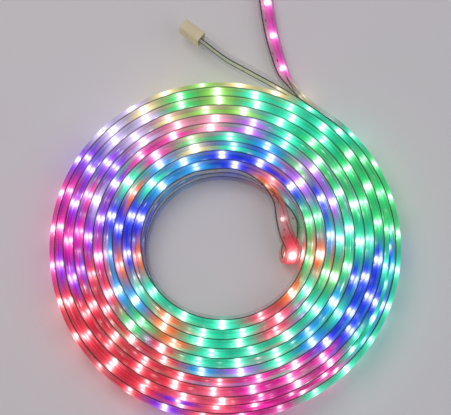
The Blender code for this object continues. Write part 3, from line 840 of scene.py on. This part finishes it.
cap = {
    "length": 22.0,
    "clearance": 0.3,
    "wall": 1.5,
    "endWall": 2.5,
    "corner": 2.2,
    "step": 0.15,                # how far the body lies below the collar at the mouth
    "ribs": 5,
    "ribDepth": 0.45,
    "ribMargin": 4.0,            # from each end to the ribs
    "ribSteps": 8,
    "colour": "#fcecc8",
    "alpha": 0.85,
    "grain": 420.0,              # of the mould's texture: about one grain every 2.4 mm
}


def capRing(grow, corner, run):
    # the strip's section grown on all sides, with quarter-circle corners, at a place along the cap
    back, front, half = -strip["back"] - grow, strip["front"] + grow, strip["halfWidth"] + grow
    quarter = np.linspace(0, math.pi / 2, 6)
    ring = []
    for u, v, turn in ((back + corner, corner - half, math.pi),
                       (front - corner, corner - half, 1.5 * math.pi),
                       (front - corner, half - corner, 0.0),
                       (back + corner, half - corner, 0.5 * math.pi)):
        ring += [(run, u + corner * math.cos(turn + q), v + corner * math.sin(turn + q)) for q in quarter]
    return ring


def capMaterial():
    # injection-moulded milky PVC: cream, thin enough to let some light through
    material, tree, shader = newMaterial("mouldedMilkyPvc", cap["colour"], {
        "Roughness": 0.38, "IOR": 1.53, "Alpha": cap["alpha"]})
    coordinates = addNode(tree, "ShaderNodeTexCoord")
    grain = addNode(tree, "ShaderNodeTexNoise", {"Scale": cap["grain"], "Detail": 3.0},
                    {"Vector": coordinates.outputs["Object"]})
    bump = addNode(tree, "ShaderNodeBump", {"Strength": 0.15, "Distance": 0.0002},
                   {"Height": grain.outputs["Fac"]})
    tree.links.new(bump.outputs[0], shader.inputs["Normal"])
    return material


def endCap():
    # rings from the pocket's bottom to the mouth, then outside from the mouth to the closed end, where cosine
    # ribs pinch the middle; at each end a ring or two round the edge off
    grow, corner, clearance = cap["clearance"] + cap["wall"], cap["corner"], cap["clearance"]
    body = grow - cap["step"]
    end = clearance + cap["endWall"]
    mouth = end - cap["length"]
    ribStart, ribEnd = mouth + cap["ribMargin"], end - cap["ribMargin"]
    runs = np.linspace(ribStart, ribEnd, cap["ribs"] * cap["ribSteps"] + 1)
    turns = cap["ribs"] * (runs - ribStart) / (ribEnd - ribStart)
    pinch = cap["ribDepth"] * (0.5 - 0.5 * np.cos(2 * math.pi * turns))
    outside = [capRing(grow - 0.4, 1.8, mouth), capRing(grow, corner, mouth + 0.4),
               capRing(grow, corner, mouth + 2.2), capRing(body, corner, mouth + 2.6)]
    outside += [capRing(body - depth, corner, run) for run, depth in zip(runs, pinch)]
    outside += [capRing(body, corner, end - 1.0), capRing(grow - 0.5, 1.9, end - 0.3),
                capRing(grow - 1.2, 1.4, end)]
    inside = [capRing(clearance, 1.2, clearance), capRing(clearance, 1.2, mouth + 0.5),
              capRing(clearance + 0.3, 1.4, mouth)]
    rings = np.array(inside + outside)
    layers, sides = rings.shape[:2]
    ahead = places[0] - places[1]
    ahead /= np.linalg.norm(ahead)
    run, out, up = (rings[..., i].ravel() for i in range(3))
    points = places[0] + ahead * run[:, None] + across[0] * out[:, None] + along[0] * up[:, None]
    i = np.arange(sides)
    j = (i + 1) % sides
    start = np.arange(layers - 1)[:, None] * sides
    quads = np.stack([start + i, start + sides + i, start + sides + j, start + j], axis=-1).reshape(-1, 4)
    faces = quads.tolist() + [i.tolist(), (i[::-1] + (layers - 1) * sides).tolist()]
    return points, faces


points, faces = endCap()
capPiece = makePiece("mouldedEndCap", points, faces, capMaterial())
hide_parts("end_cap")
print("end cap made")


# floor, lights, camera

studio = {
    "floor": "#ece8ec",
    "floorSize": 6.0,            # metres
    "floorDrop": 0.0003,         # below the part, so that the two don't flicker
    "world": "#cfd0d6",
    "worldStrength": 0.4,
    # name, place from the axis in metres, size, power, colour
    "lamps": (("keyPanel", (-0.7, 0.5, 1.6), 1.2, 9.0, "#fff8f0"),
              ("fillPanel", (1.1, -0.3, 1.3), 1.4, 5.0, "#f0f4ff")),
}
# uncoated paper, rolled: matt and pale
floorLook, *_ = newMaterial("matteFloorPaper", studio["floor"], {"Roughness": 0.9, "Specular IOR Level": 0.2})
bpy.ops.mesh.primitive_plane_add(size=studio["floorSize"], location=(0, 0, -studio["floorDrop"]))
floor = bpy.context.object
floor.name = "floor"
floor.data.materials.append(floorLook)

world = bpy.data.worlds.new("studio")
bpy.context.scene.world = world
world.use_nodes = True
background = world.node_tree.nodes["Background"]
background.inputs[0].default_value = (*hexToLinear(studio["world"]), 1)
background.inputs[1].default_value = studio["worldStrength"]
for name, spot, size, power, colour in studio["lamps"]:
    lamp = bpy.data.lights.new(name, "AREA")
    lamp.size = size
    lamp.energy = power
    lamp.color = hexToLinear(colour)
    lampObject = bpy.data.objects.new(name, lamp)
    bpy.context.scene.collection.objects.link(lampObject)
    lampObject.location = Vector(spot) + Vector(coilAxis)
    lampObject.rotation_euler = (-Vector(spot)).to_track_quat("-Z", "Y").to_euler()

camera = {
    "aim": (0.13, 36.25, 26.0),  # millimetres from the axis
    "elevation": 74.0,
    "distance": 1820.0,
    "lens": 163.2,
}
aim = Vector(coilAxis) + Vector(camera["aim"]) * mm
tilt = math.radians(camera["elevation"])
eye = bpy.data.cameras.new("camera")
eye.lens = camera["lens"]
eye.clip_end = 20
eyeObject = bpy.data.objects.new("camera", eye)
bpy.context.scene.collection.objects.link(eyeObject)
back = Vector((0, -math.cos(tilt), math.sin(tilt)))
eyeObject.location = aim + back * camera["distance"] * mm
eyeObject.rotation_euler = (math.radians(90) - tilt, 0, 0)
bpy.context.scene.camera = eyeObject
bpy.context.scene.view_settings.view_transform = "Standard"

# the soft bloom that a camera's lens puts round the LEDs
bpy.context.scene.use_nodes = True
lens = bpy.context.scene.node_tree
lens.nodes.clear()
layers = lens.nodes.new("CompositorNodeRLayers")
bloom = lens.nodes.new("CompositorNodeGlare")
output = lens.nodes.new("CompositorNodeComposite")
bloom.glare_type = "BLOOM"
for socketName, value in (("Threshold", 1.0), ("Strength", 0.2), ("Size", 0.3)):
    bloom.inputs[socketName].default_value = value
lens.links.new(layers.outputs["Image"], bloom.inputs["Image"])
lens.links.new(bloom.outputs["Image"], output.inputs["Image"])
print("stage set")
